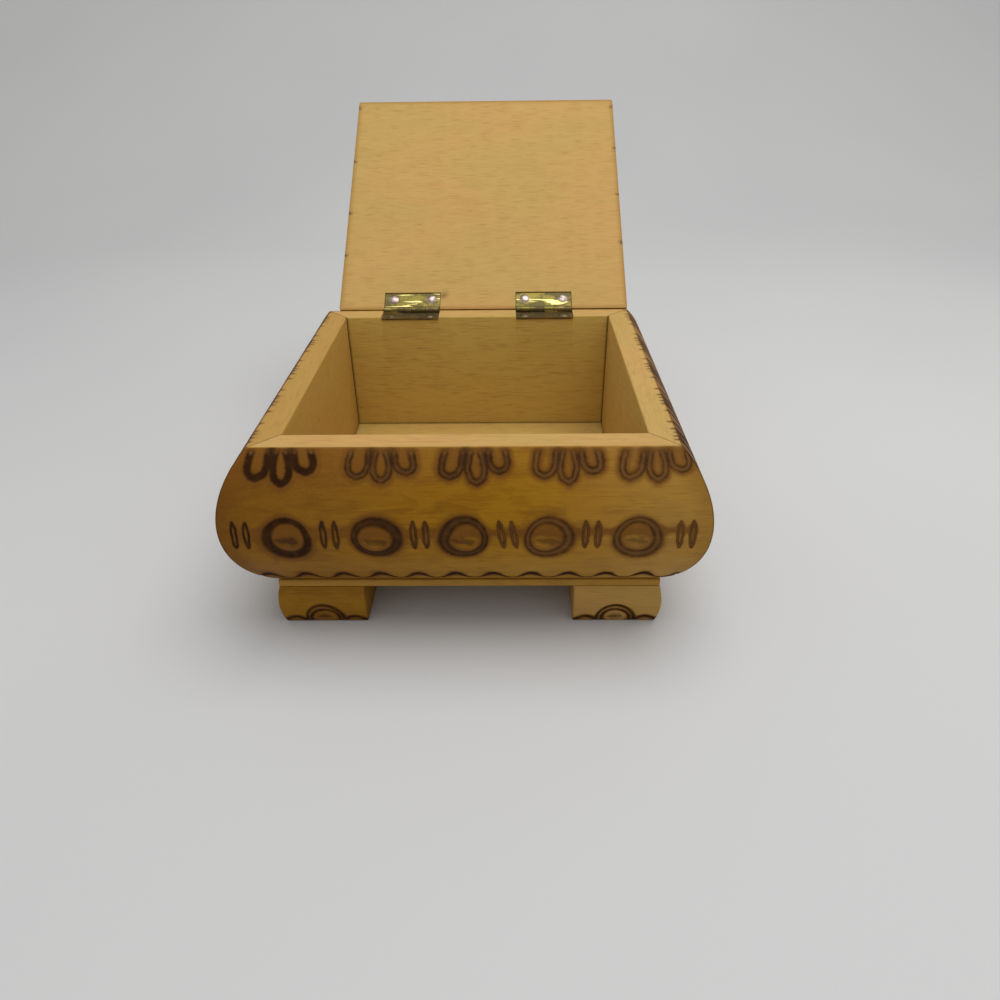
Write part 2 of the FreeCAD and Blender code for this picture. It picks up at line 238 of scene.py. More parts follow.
def woodPaint():
    paint = Paint("burntWood")
    grain = paint.field("grain", "Vector")
    varnish = paint.field("varnish")
    inner = paint.field("inner")
    burn = paint.field("burn")
    burnHeat = paint.field("burnHeat")
    toastAndShade = paint.field("toastAndShade")
    mark = paint.field("mark")

    def figure(name, detail, distortion=0.0):
        return paint.noise(paint.stretch(grain, grainScale[name]), 1.0, detail, distortion)

    cloud = figure("cloud", 2.0, 0.5)
    bands = figure("bands", 3.0, 0.3)
    fibres = figure("fibres", 3.0)
    rays = paint.step(figure("rays", 2.0), 0.52, 0.74)
    mottle = figure("mottle", 4.0, 0.8)
    speckle = paint.noise(grain, grainScale["speckle"], 3.0)
    blot = paint.step(paint.noise(grain, grainScale["blot"], 2.0), 0.3, 0.7, 0.84, 1.16)
    ripple = fibres - 0.5

    # Bare wood: rosy to olive clouds, faint bands and short dark rays along the grain
    hue = paint.step(cloud, 0.36, 0.64)
    bare = paint.blend(hue, wood["bareRosy"], wood["bareOlive"])
    bare = paint.blend(paint.step(bands + ripple * 0.5, 0.3, 0.7, 0.1, 0.7), bare, wood["bare"])
    bare = paint.blend(inner, bare, wood["bareInner"])
    clouded = paint.step(mottle + ripple * 0.8, 0.4, 0.8)
    bare = paint.blend(rays * wood["rayShare"] + clouded * wood["mottleShare"], bare, wood["ray"])

    # Honey varnish, uneven, darker along the bands
    uneven = mottle + (bands - 0.5) * 0.4 + ripple * 0.3
    honey = paint.blend(paint.step(uneven, 0.3, 0.62), wood["honeyDark"], wood["honey"])
    honey = paint.blend(paint.step(cloud + ripple * 0.3, 0.42, 0.72) * 0.6, honey, wood["honeyPale"])
    honey = paint.blend(rays * wood["honeyRayShare"], honey, wood["scorchAndShade"])
    skin = paint.blend(varnish, bare, honey)

    # Burnt lines: browned wood round them, two charred edges, and an ashen bed between the edges
    line = abs(burn + (speckle - 0.5) * 0.55 + (mottle - 0.5) * 0.3)

    def zone(name):
        return paint.step(line, *burnZone[name], 1.0, 0.0)

    inside = paint.step(burn, -2.2, -0.4, wood["insideShare"], 0.0) * paint.step(burn, -5.5, -3.0)
    heat = burnHeat * blot
    groove = zone("groove")
    warm = paint.step(burnHeat, 0.0, 0.5)
    aura = (zone("halo") * wood["haloShare"] + inside) * warm
    # browning round the burnt lines and from the toast field, which also carries painted shade
    brownedAndShaded = paint.step(aura + toastAndShade * (0.7 + speckle * 0.6), 0.0, 1.0)
    skin = paint.blend(brownedAndShaded * wood["deepestBrownAndShade"], skin, wood["scorchAndShade"])
    skin = paint.blend(groove * paint.step(heat, 0.0, 1.1), skin, wood["char"])
    ashen = paint.step(burnHeat, 0.65, 1.0, 0.72, 0.0) * paint.step(burnHeat, 0.35, 0.7)
    skin = paint.blend(zone("bed") * ashen, skin, wood["ash"])
    skin = paint.blend(mark * paint.step(speckle, 0.2, 0.7, 0.75, 1.0), skin, wood["soil"])

    charred = groove * heat
    gloss = varnish + (mottle - 0.5) * 0.3
    rough = paint.step(gloss, 0.0, 1.0, wood["bareRough"], wood["honeyRough"])
    relief = fibres * 0.3 - rays * 0.4 - charred * 0.5 + speckle * 0.12
    paint.shader.inputs["Coat Roughness"].default_value = wood["coatRough"]
    paint.shader.inputs["Specular IOR Level"].default_value = wood["specular"]
    return paint.finish(
        Base_Color=skin,
        Roughness=rough + charred * wood["grooveRough"],
        Coat_Weight=varnish * (1 - charred) * wood["coat"],
        Normal=paint.bump(relief, wood["relief"] * mm, 0.5),
    )


# Brass plate worn to a greenish grey, with bright streaks along the leaf that are rubbed brass and a painted
# highlight; box leaves are darker and browner, painted shade and a painted reflection of the wood
brass = {
    "plate": tint(124, 111, 54),
    "worn": tint(106, 97, 60),
    "dark": tint(64, 54, 36),
    "rubbedGlint": tint(252, 234, 150),
}
# box leaves: painted shade and a painted reflection of the wood, darker and browner
shadedBrassTones = {
    "plate": tint(130, 112, 70),
    "worn": tint(101, 88, 60),
    "dark": tint(48, 40, 28),
    "rubbedGlint": tint(150, 134, 90),
}
plateScale = {"cloud": 260.0, "streak": (80.0, 640.0, 640.0), "pits": 2200.0}  # noise per metre
metalRelief = 0.02  # depth of pits and scratches


def brassPaint(name, tones):
    paint = Paint(name)
    place = paint.place()
    cloud = paint.noise(place, plateScale["cloud"], 3.0, 0.6)
    streak = paint.noise(paint.stretch(place, plateScale["streak"]), 1.0, 2.0, 0.4)
    pits = paint.step(paint.noise(place, plateScale["pits"], 2.0), 0.6, 0.75)
    wear = paint.step(cloud + (streak - 0.5) * 0.35, 0.34, 0.6)
    skin = paint.blend(wear, tones["plate"], tones["worn"])
    # painted highlight: bright streaks where the leaf catches the light, also standing for rubbed brass
    skin = paint.blend(paint.step(streak, 0.58, 0.66), skin, tones["rubbedGlint"])
    skin = paint.blend(pits * 0.5, skin, tones["dark"])
    rough = paint.step(wear + pits * 0.4, 0.0, 1.2, 0.4, 0.6)
    paint.shader.inputs["Metallic"].default_value = 1.0
    relief = paint.bump(streak * 0.5 - pits, metalRelief * mm, 0.5)
    return paint.finish(Base_Color=skin, Roughness=rough, Normal=relief)


# Nail heads of dull plated steel, painted darker and browner in the box leaves, which lie in shade
nailSteel = {"bright": tint(206, 188, 178), "dull": tint(150, 130, 120)}
shadedSteelTones = {"bright": tint(128, 113, 84), "dull": tint(96, 82, 60)}
nailScale = {"cloud": 900.0, "pits": 3000.0}  # noise per metre


def nailPaint(name, tones):
    paint = Paint(name)
    place = paint.place()
    cloud = paint.noise(place, nailScale["cloud"], 4.0)
    pits = paint.step(paint.noise(place, nailScale["pits"], 2.0), 0.6, 0.72)
    skin = paint.blend(paint.step(cloud, 0.4, 0.62), tones["bright"], tones["dull"])
    rough = paint.step(cloud + pits * 0.3, 0.3, 0.9, 0.36, 0.56)
    paint.shader.inputs["Metallic"].default_value = 1.0
    relief = paint.bump(cloud - pits, metalRelief * mm, 0.4)
    return paint.finish(Base_Color=skin, Roughness=rough, Normal=relief)


burntWood = woodPaint()
wornBrass = brassPaint("wornBrass", brass)
shadedBoxBrass = brassPaint("shadedBoxBrass", shadedBrassTones)
dullNail = nailPaint("dullNail", nailSteel)
shadedBoxNail = nailPaint("shadedBoxNail", shadedSteelTones)
print("finishes made")


# The hand that burns the lines
hand = {
    "shake": 0.05,
    "ringWobble": (0.03, 0.015),  # shares of the radius, two and three waves round
    "ringSwell": 0.28,  # share by which a ring's line is thicker on one side
    "barHalf": 0.21,
    "smearHalf": (0.3, 0.8),  # at the ends and in the middle
    "smearSag": (0.1, 0.4),
    "grooveReach": 1.3,  # half widths from the middle of a line to where its groove ends
    "grooveShape": 0.7,
}
farOff = 6.0  # half widths, past which a line changes nothing


# Burnt lines are drawn on a face laid flat: points, a half width along them, and a heat.
# A closed line has an inside, which keeps the field round it smooth between mesh points.
def drawn(points, half, heat, closed=True):
    points = np.array(points, float)
    half = np.broadcast_to(np.array(half, float), len(points))
    if closed:
        points = np.concatenate((points, points[:1]))
        half = np.append(half, half[0])
    return {"points": points, "half": half, "heat": heat, "closed": closed}


def loopLine(centre, lean, neck, belly, length, heat, half):
    # a loop hung from the edge at depth 0: narrow at the neck, widest at the belly, round below
    above = -0.5
    widest = 0.6
    share = np.append(above, np.linspace(0, 1, 15))
    below = np.clip((share - widest) / (1 - widest), 0, 1)
    width = neck + (belly - neck) * smooth(share, -0.1, widest)
    width = width * np.sqrt(np.clip(1 - below**2, 0, 1))
    left = np.stack((-width, share * length), 1)
    right = np.stack((width, share * length), 1)[::-1][1:]
    points = np.concatenate((left, right))
    points[:, 0] += centre + lean * points[:, 1]
    points += dice.normal(0, hand["shake"], points.shape)
    return drawn(points, half, heat)


def ringLine(centre, down, radius, heat, half):
    turn = np.linspace(0, 2 * math.pi, 36, endpoint=False)
    first, second, third = dice.uniform(0, 6, 3)
    twice, thrice = hand["ringWobble"]
    wobble = radius * (1 + twice * np.sin(turn * 2 + first) + thrice * np.sin(turn * 3 + second))
    points = np.stack((centre + wobble * np.cos(turn), down + wobble * np.sin(turn)), 1)
    return drawn(points, half * (1 + hand["ringSwell"] * np.sin(turn + third)), heat)


def barLine(centre, down, length, lean, heat):
    # a narrow leaf shape, burnt along both of its sides
    blunt = 0.6
    along = np.linspace(-0.5, 0.5, 9)
    width = pattern["barWidth"] / 2 * np.cos(along * math.pi) ** blunt
    left = np.stack((-width, along * length), 1)
    right = np.stack((width, along * length), 1)[::-1][1:-1]
    points = np.concatenate((left, right))
    points[:, 0] += centre + lean * points[:, 1]
    points[:, 1] += down
    points += dice.normal(0, hand["shake"], points.shape)
    return drawn(points, hand["barHalf"], heat)


def smear(centre, down, width, heat):
    # a soft dark streak, thin at its ends and sagging a little
    along = np.linspace(-0.5, 0.5, 9)
    bow = np.cos(along * math.pi)
    points = np.stack((centre + along * width, down + dice.uniform(*hand["smearSag"]) * bow), 1)
    thin, thick = hand["smearHalf"]
    return drawn(points, thin + (thick - thin) * bow, heat, closed=False)


def gaps(spots, line):
    # the spots near a line, and how many half widths they lie from it
    points, half = line["points"], line["half"]
    margin = farOff * half.max()
    near = np.flatnonzero(np.all((spots > points.min(0) - margin) & (spots < points.max(0) + margin), 1))
    found = np.full(len(near), farOff)
    for start, end, wide, wideEnd in zip(points, points[1:], half, half[1:]):
        run = end - start
        share = np.clip((spots[near] - start) @ run / max(run @ run, 1e-9), 0, 1)
        gap = np.linalg.norm(spots[near] - start - share[:, None] * run, axis=1)
        found = np.minimum(found, gap / (wide + share * (wideEnd - wide)))
    return near, found


def within(spots, points):
    # which spots a closed line goes round
    inside = np.zeros(len(spots), bool)
    for (x, y), (nextX, nextY) in zip(points, points[1:]):
        spans = (y > spots[:, 1]) != (nextY > spots[:, 1])
        rise = nextY - y or 1e-9
        inside ^= spans & (spots[:, 0] < x + (spots[:, 1] - y) * (nextX - x) / rise)
    return inside


def burnt(spots, lines):
    # half widths to the nearest line, less than 0 inside a closed one, and that line's heat
    reach = np.full(len(spots), farOff)
    heat = np.zeros(len(spots))
    inside = np.zeros(len(spots), bool)
    for line in lines:
        near, found = gaps(spots, line)
        closer = found < reach[near]
        reach[near[closer]] = found[closer]
        heat[near[closer]] = line["heat"]
        if line["closed"]:
            inside[near] |= within(spots[near], line["points"])
    return np.where(inside, -reach, reach), heat


def smudged(spots, lines):
    # soft marks, darkest along their lines
    depth = np.zeros(len(spots))
    for line in lines:
        near, found = gaps(spots, line)
        depth[near] = np.maximum(depth[near], line["heat"] * np.exp(-(found**2)))
    return depth


def grooveDepth(reach, heat, deepest):
    return deepest * heat * np.clip(hand["grooveReach"] - np.abs(reach), 0, 1) ** hand["grooveShape"]


# Meshes
weldGap = 0.002
sharpAngle = 38  # degrees


def loft(name, rings):
    # a closed skin over rings with the same number of points, with a face on the first and last
    count = len(rings[0])
    around = np.arange(count)
    quads = np.stack((around, (around + 1) % count, (around + 1) % count + count, around + count), 1)
    rows = np.arange(len(rings) - 1)[:, None, None] * count
    faces = (quads[None] + rows).reshape(-1, 4).tolist()
    faces.append(around[::-1].tolist())
    faces.append((around + count * (len(rings) - 1)).tolist())
    mesh = bpy.data.meshes.new(name)
    mesh.from_pydata((np.concatenate(rings) * mm).tolist(), [], faces)
    work = bmesh.new()
    work.from_mesh(mesh)
    bmesh.ops.remove_doubles(work, verts=work.verts, dist=weldGap * mm)
    bmesh.ops.recalc_face_normals(work, faces=work.faces)
    work.to_mesh(mesh)
    work.free()
    piece = bpy.data.objects.new(name, mesh)
    bpy.context.scene.collection.objects.link(piece)
    return piece


def prism(section, left, right):
    # a bar along X over a section of (y, z) points
    return loft("cutter", [np.array([(end, y, z) for y, z in section]) for end in (left, right)])


def carve(piece, cutters):
    for cutter in cutters:
        cut = piece.modifiers.new("cut", "BOOLEAN")
        cut.operation = "DIFFERENCE"
        cut.solver = "EXACT"
        cut.object = cutter
    ready = piece.evaluated_get(bpy.context.evaluated_depsgraph_get())
    piece.modifiers.clear()
    piece.data = bpy.data.meshes.new_from_object(ready)
    for cutter in cutters:
        bpy.data.objects.remove(cutter)


def readSpots(piece):
    spots = np.zeros(len(piece.data.vertices) * 3)
    piece.data.vertices.foreach_get("co", spots)
    return spots.reshape(-1, 3) / mm


def writeSpots(piece, spots):
    piece.data.vertices.foreach_set("co", (spots * mm).ravel())
    piece.data.update()


def dress(piece, body, node, fields):
    # fields that are left out are bare, unburnt and clean
    clean = {"varnish": 0.0, "inner": 0.0, "burn": farOff, "burnHeat": 0.0, "toastAndShade": 0.0, "mark": 0.0}
    count = len(piece.data.vertices)
    for name, value in (clean | fields).items():
        kind, key = ("FLOAT_VECTOR", "vector") if name == "grain" else ("FLOAT", "value")
        values = value if name == "grain" else np.broadcast_to(value, count)
        layer = piece.data.attributes.new(name, kind, "POINT")
        layer.data.foreach_set(key, np.ascontiguousarray(values, np.float32).ravel())
    piece.data.materials.clear()
    piece.data.materials.append(burntWood)
    piece.data.shade_smooth()
    piece.data.set_sharp_from_angle(angle=math.radians(sharpAngle))
    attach(piece, body)
    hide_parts(node)


def smooth(value, low, high):
    share = np.clip((value - low) / (high - low), 0, 1)
    return share * share * (3 - 2 * share)


def ramp(value, share, low, high):
    return share * smooth(value, low, high)


def edgeTone(distance, share, width):
    # a share right at an edge that is gone at a width from it
    return ramp(-distance, share, -width, 0.0)


def chosen(values, node):
    return values.get(node, values["other"])


boardSize = 400


def cutFrom(spots):
    # the grain of a piece, as if cut from its own place in a board
    return spots + dice.uniform(0, boardSize, 3)


# Walls
wall = {
    "swell": 6.6,  # past the rim at half height
    "tuck": 1.5,  # of the foot, in from the outer edge of the rim
    "rimRound": 0.4,
    "edgeEase": {"rear_wall": 0.08, "other": 0.34},  # of the rim's outer edge, crisp where the lid is hung
    "mitreGap": 0.03,
    "step": 0.32,  # between points of the burnt face
    "footRows": (0.0, 0.4, 0.9),  # levels of points up the inner face
    "rimRows": (2.6, 1.8, 1.4, 1.0, 0.68),  # points across the rim, in from its outer edge
    "grooveDepth": 0.13,
    "skin": 0.3,  # depth to which varnish and burning soak in
    "face": 0.05,  # depth that still counts as the outer face
    "bareTone": {"left_wall": 0.36, "other": 0.0},  # share of honey in the bare wood
    "innerTone": {"rear_wall": 0.9, "other": 0.5},  # share of the yellower wood on the inner face
    "innerEdge": 0.4,  # depth at which that share is gone
    "nicked": ("left_wall", "right_wall"),  # burnt lines run over the rim's edge
    "rimFade": 0.6,  # share of its heat that a line loses towards the rim on the other walls
    "heatFrom": (-0.1, 0.35),  # below the rim: none at the first, full at the second
    "fadedFrom": (0.2, 1.8),  # the same for the share that fades
    "paintedLightRight": (0.28, 8, 44),  # painted light: less varnish to the right, where the light falls: share, from, to
    "paintedBounceLow": (0.14, 20, 30),  # painted light from the floor's bounce, down the face
    "paintedShadeLeft": (0.55, -20, 44),  # painted shade to the left
    "darkerToRim": (0.32, -16, -2),  # darker up the face, towards the rim
    "paintedShadeMitre": (0.3, 6.0),  # painted shade beside a mitre, where the face turns from the light: share, width
    "innerSeam": (0.85, 0.7),  # soil in the inner corners
    "rimSeam": (0.7, 0.3),  # in the mitres elsewhere
    "footSeam": (0.8, 0.5),  # and along the floor
    "nickDepth": 1.0,  # below the rim
}
wallHeight = rimLevel - wallFoot
halfHeight = wallHeight / 2
arcOut = wall["tuck"] ** 2 + 2 * halfHeight**2 - 2 * wall["swell"] ** 2
arcOut /= wall["tuck"] + 2 * wall["swell"]
arcUp = (wall["swell"] ** 2 + halfHeight**2 + arcOut * wall["swell"]) / halfHeight
arcRadius = math.hypot(arcOut, arcUp) / 2
arcCentre = np.array((rimWidth - arcOut / 2, wallHeight - arcUp / 2))  # out from the inner face, and up
arcStart = math.atan2(arcUp, arcOut)
arcEnd = math.atan2(-arcCentre[1], rimWidth - wall["tuck"] - arcCentre[0])
arcLength = arcRadius * (arcStart - arcEnd)

pattern = {
    "loopCentres": (-35.6, -16.1, 2.4, 20.6, 38.0),
    "loopSpread": 4.05,  # from a group's middle loop to its side loops, at the rim
    "loopLean": 0.17,
    "loopLengths": (5.9, 6.9, 4.9),
    "loopNecks": (1.7, 0.75, 1.6),
    "loopBellies": (1.95, 1.65, 1.8),
    "loopHalf": 0.62,
    "ringCentres": (-35.7, -17.8, -0.1, 17.2, 34.8),
    "ringDown": 19.2,
    "ringRadius": 4.25,
    "ringHalf": 0.82,
    "barCentres": (-45.2, -26.8, -8.6, 9.0, 26.0, 45.0),
    "barDown": 18.4,
    "barLength": 6.5,
    "barSpread": 1.25,
    "barWidth": 1.0,
    "scorchDown": 18.5,
    "festoonPitch": 8.05,
    "festoonShift": 2.45,
    "festoonTop": 31.8,
    "festoonSag": 3.6,
    "festoonHalf": (0.28, 0.78),  # in the dips and at the peaks
    "festoonHeat": 1.25,
    "overrun": 8.0,  # of the long lines, past the ends of a wall
    "festoonClose": 9.0,  # from the foot down to where its outline is closed
    "stray": 0.25,  # of each motif along the wall
    "heatEnds": (1.0, 0.68),  # at the left end of a wall and at the right one
    "heatSpan": 40.0,  # from the middle to where those hold
    "barHeat": 0.95,
    "soot": ((-1.9, 1.0), (2.0, 0.7)),  # soft marks between loops: across, share of heat
    "sootDown": (0.2, 3.0),
    "sootHalf": 0.95,
    "smears": ((-0.6, 0.3, 3.4), (0.9, 0.7, 2.0)),  # soft streaks in rings: across, down, width
    "smearHeat": 0.85,
    "dots": 5,  # in each ring
    "dotSize": (0.25, 0.5),
    "dotHeat": 0.8,
    "nickStart": 0.6,  # below the rim's edge
    "nickReach": (0.15, 0.5),  # over the rim
    "nickHalf": 0.4,
    "nickHeat": 0.95,
}


def loopGroup(middle, heat):
    lines = []
    shapes = zip((-1, 0, 1), pattern["loopLengths"], pattern["loopNecks"], pattern["loopBellies"])
    for side, length, neck, belly in shapes:
        place = middle + side * pattern["loopSpread"]
        lean = side * pattern["loopLean"] + dice.normal(0, 0.02)
        length *= dice.uniform(0.95, 1.05)
        half = pattern["loopHalf"] * dice.uniform(0.9, 1.15)
        lines.append(loopLine(place, lean, neck, belly, length, heat * dice.uniform(0.92, 1.05), half))
    return lines


def wallLines(halfRun, mirror):
    # burnt lines of a wall, hotter at its left end, and soft marks between loops and inside rings
    lines = []
    marks = []
    scale = halfRun / (innerX + rimWidth)
    heatSpan = (-pattern["heatSpan"], pattern["heatSpan"])
    sootTop, sootEnd = pattern["sootDown"]

    def spread(centres):
        for centre in centres:
            middle = mirror * centre * scale + dice.normal(0, pattern["stray"])
            yield middle, float(np.interp(middle, heatSpan, pattern["heatEnds"])) * dice.uniform(0.94, 1.06)

    for middle, heat in spread(pattern["loopCentres"]):
        lines += loopGroup(middle, heat)
        for side, dark in pattern["soot"]:
            streak = ((middle + side, sootTop), (middle + side * 1.1, sootEnd))
            marks.append(drawn(streak, pattern["sootHalf"], dark * heat**3, closed=False))
    for middle, heat in spread(pattern["ringCentres"]):
        lines.append(ringLine(middle, pattern["ringDown"], pattern["ringRadius"], heat, pattern["ringHalf"]))
        dark = pattern["smearHeat"] * heat
        for shift, drop, width in pattern["smears"]:
            marks.append(smear(middle + shift, pattern["ringDown"] + drop, width, dark))
        for dot in range(pattern["dots"]):
            across, drop = dice.normal(0.1, 1.1), dice.uniform(-0.3, 1.5)
            spot = np.array((middle + across, pattern["ringDown"] + drop))
            size = dice.uniform(*pattern["dotSize"])
            ends = (spot, spot + (size, 0.3 * size))
            marks.append(drawn(ends, size, pattern["dotHeat"] * heat, closed=False))
    for middle, heat in spread(pattern["barCentres"]):
        lean = dice.normal(0, 0.05)
        for side in (-1, 1):
            across = middle + side * pattern["barSpread"]
            dark = pattern["barHeat"] * heat
            lines.append(barLine(across, pattern["barDown"], pattern["barLength"], lean, dark))
    return lines, marks


def festoonLine(halfRun):
    # a scalloped line along the foot, thick at the peaks; everything below it counts as inside
    pointed = 2.5
    thickAt = 7  # the higher, the shorter the thick part of a peak
    end = halfRun + pattern["overrun"]
    along = np.arange(-end, end, 0.7)
    shift = pattern["festoonShift"] + dice.uniform(0, 0.8)
    swing = np.abs(np.cos(math.pi * (along + shift) / pattern["festoonPitch"]))
    down = pattern["festoonTop"] + pattern["festoonSag"] * (1 - swing**pointed)
    points = np.stack((along, down + dice.normal(0, 0.06, len(along))), 1)
    below = arcLength + pattern["festoonClose"]
    under = np.array(((end, below), (-end, below)))
    dip, peak = pattern["festoonHalf"]
    half = np.append(dip + (peak - dip) * swing**thickAt, (0.1, 0.1))
    half *= dice.uniform(0.85, 1.15, len(half))
    return drawn(np.concatenate((points, under)), half, pattern["festoonHeat"])


def scorchLine(halfRun):
    # the browned line behind the rings and bars, which wanders a little
    end = halfRun + pattern["overrun"]
    along = np.linspace(-end, end, 40)
    down = pattern["scorchDown"] + np.cumsum(dice.normal(0, 0.1, len(along)))
    return drawn(np.stack((along, down), 1), 0.8 + dice.uniform(0, 0.6, len(along)), 1.0, closed=False)


def rimNicks(lines):
    # both ends of each loop, where the burnt line runs over the edge of the rim
    nicks = []
    for line in lines:
        points = line["points"]
        if points[0, 1] > 0:  # a ring or a bar, which starts below the rim
            continue
        for end in (1, -3):  # the points at depth 0
            across = points[end, 0]
            reach = dice.uniform(*pattern["nickReach"])
            nick = ((across, pattern["nickStart"]), (across + dice.normal(0, 0.1), -reach))
            nicks.append(drawn(nick, pattern["nickHalf"], pattern["nickHeat"], closed=False))
    return nicks


def wallProfile(ease):
    # (out, up) points round the section of a wall, from the inner foot over the rim to the outer foot
    soft = wall["rimRound"]
    points = [(0, level) for level in (*wall["footRows"], halfHeight)]
    for turn in np.linspace(0, quarter, 5):
        points.append((soft - soft * math.cos(turn), wallHeight - soft + soft * math.sin(turn)))
    points += [(rimWidth - inset, wallHeight) for inset in wall["rimRows"]]
    first = np.array((rimWidth - ease, wallHeight))
    knee = np.array((rimWidth, wallHeight))
    top = arcStart - ease / arcRadius
    last = arcCentre + arcRadius * np.array((math.cos(top), math.sin(top)))
    for share in np.linspace(0, 1, 5)[:-1]:
        points.append((1 - share) ** 2 * first + 2 * share * (1 - share) * knee + share**2 * last)
    for turn in np.linspace(top, arcEnd, round(arcLength / wall["step"])):
        points.append(arcCentre + arcRadius * np.array((math.cos(turn), math.sin(turn))))
    return np.array(points)


def makeWall(node, halfRun, turn, mirror):
    profile = wallProfile(chosen(wall["edgeEase"], node))
    count = round(2 * (halfRun + rimWidth + wall["swell"]) / wall["step"])
    innerFace = innerY if node in ("front_wall", "rear_wall") else innerX
    spin = np.array(Matrix.Rotation(turn, 3, "Z"))
    rings = []
    for share in np.linspace(-1, 1, count):
        along = share * (halfRun + profile[:, 0] - wall["mitreGap"])
        local = np.stack((along, -(innerFace + profile[:, 0]), wallFoot + profile[:, 1]), 1)
        rings.append(local @ spin.T)
    piece = loft(node + "_wood", rings)
    if node == "rear_wall":
        carve(piece, hingeNotches())
    local = readSpots(piece) @ spin
    along, out, up = local[:, 0], -local[:, 1] - innerFace, local[:, 2] - wallFoot
    spoke = np.stack((out, up), 1) - arcCentre
    radius = np.linalg.norm(spoke, axis=1)
    down = arcRadius * (arcStart - np.arctan2(spoke[:, 1], spoke[:, 0]))
    deep = arcRadius - radius  # under the outer face
    flat = np.stack((along, down), 1)
    lines, marks = wallLines(halfRun + rimWidth, mirror)
    reach, heat = burnt(flat, lines + [festoonLine(halfRun)])
    outside = smooth(-deep, -wall["skin"], -wall["face"])
    fade = 0.0 if node in wall["nicked"] else wall["rimFade"]
    heat *= outside * (ramp(down, 1 - fade, *wall["heatFrom"]) + ramp(down, fade, *wall["fadedFrom"]))
    sink = grooveDepth(reach, heat, wall["grooveDepth"]) * (deep < wall["face"])
    spoke = spoke / radius[:, None]
    local[:, 1] += sink * spoke[:, 0]
    local[:, 2] -= sink * spoke[:, 1]
    writeSpots(piece, local @ spin.T)
    mitre = halfRun + out - np.abs(along)
    # painted light: the varnish is paler to the right, where the light falls, and low on the face, lit by the
    # floor
    paintedLightFade = 1 - ramp(along, *wall["paintedLightRight"]) - ramp(down, *wall["paintedBounceLow"])
    # browning along the scorched line, with painted shade beside the mitres and to the left, and darker
    # towards the rim
    toastAndShade = smudged(flat, [scorchLine(halfRun)]) + edgeTone(mitre, *wall["paintedShadeMitre"])
    toastAndShade += ramp(-along, *wall["paintedShadeLeft"]) + ramp(-down, *wall["darkerToRim"])
    innerSide = out < wall["innerEdge"] / 2
    seam = np.where(innerSide, edgeTone(mitre, *wall["innerSeam"]), edgeTone(mitre, *wall["rimSeam"]))
    seam = np.maximum(seam, edgeTone(up, *wall["footSeam"]) * innerSide)
    if node in wall["nicked"]:
        nicks = smudged(flat, rimNicks(lines))
        seam = np.maximum(seam, nicks * (up > wallHeight - wall["nickDepth"]))
    section = np.where(deep < wall["skin"], down, up + out)
    fields = {
        "grain": cutFrom(np.stack((along, section, out), 1)),
        "varnish": np.maximum(outside * paintedLightFade, chosen(wall["bareTone"], node)),
        "inner": edgeTone(out, chosen(wall["innerTone"], node), wall["innerEdge"]),
        "burn": np.where(deep < wall["skin"] + wall["face"], reach, farOff),
        "burnHeat": heat,
        "toastAndShade": toastAndShade * outside,
        "mark": np.maximum(seam, smudged(flat, marks) * outside),
    }
    dress(piece, "box", node, fields)


# Notches in the rear rim that the hinge leaves lie in
leaf = {
    "endGap": 0.2,
    "knuckle": 0.95,  # radius, and how far from the axis the leaves are let in
    "relief": 0.15,  # round the knuckle
    "reach": 6.1,  # from the axis
    "overcut": 3.0,  # of the cutters, past the wood
}


def hingeSpan(name):
    low, high = corners(name + "_hinge_box_leaf")
    return low[0] - leaf["endGap"], high[0] + leaf["endGap"]


def hingeNotches():
    floor = axisLevel - leaf["knuckle"]
    top = rimLevel + leaf["overcut"]
    inside = innerY - leaf["overcut"]
    outside = axisBack + leaf["overcut"]
    section = [(inside, floor), (outside, floor), (outside, top), (inside, top)]
    bed = leaf["knuckle"] + leaf["relief"]
    turns = np.linspace(0, 2 * math.pi, 28, endpoint=False)
    hollow = [(axisBack + bed * math.cos(turn), axisLevel + bed * math.sin(turn)) for turn in turns]
    cutters = []
    for name in ("left", "right"):
        cutters.append(prism(section, *hingeSpan(name)))
        cutters.append(prism(hollow, *hingeSpan(name)))
    return cutters


makeWall("front_wall", innerX, 0, 1)
makeWall("right_wall", innerY, quarter, -1)
makeWall("rear_wall", innerX, 2 * quarter, 1)
makeWall("left_wall", innerY, -quarter, 1)
print("walls made")


# A rectangle in plan with rounded corners, always with the same number of points
def planRing(low, high, radius, level, counts, cornerSteps):
    centre = (low + high) / 2
    bends = []
    for index, (sideX, sideY) in enumerate(((1, -1), (1, 1), (-1, 1), (-1, -1))):
        pivot = centre + (sideX, sideY) * ((high - low) / 2 - radius)
        turns = np.linspace(-quarter, 0, cornerSteps + 1) + index * quarter
        bends.append(pivot + radius * np.stack((np.cos(turns), np.sin(turns)), 1))
    points = []
    for index, bend in enumerate(bends):
        following = bends[(index + 1) % 4][0]
        points.append(bend)
        points.append(np.linspace(bend[-1], following, counts[index % 2] + 1)[1:-1])
    flat = np.concatenate(points)
    return np.column_stack((flat, np.full(len(flat), level)))


# Base plate, with a bare floor between the walls
base = {
    "round": 0.4,
    "leastRound": 0.02,  # of the innermost corners
    "underRound": 0.2,
    "step": 0.8,
    "floorRows": (-1.5, -0.1, 0.3, 0.9),  # points on top, in from the walls' inner faces
    "varnish": 0.74,
    "innerTone": 0.5,  # share of the yellower wood on the floor
    "seam": (0.8, -0.6, 0.1),  # soil along the walls: share, from, to
    "bareTo": 0.2,  # past the walls' inner faces
    "varnishFrom": 1.5,
}


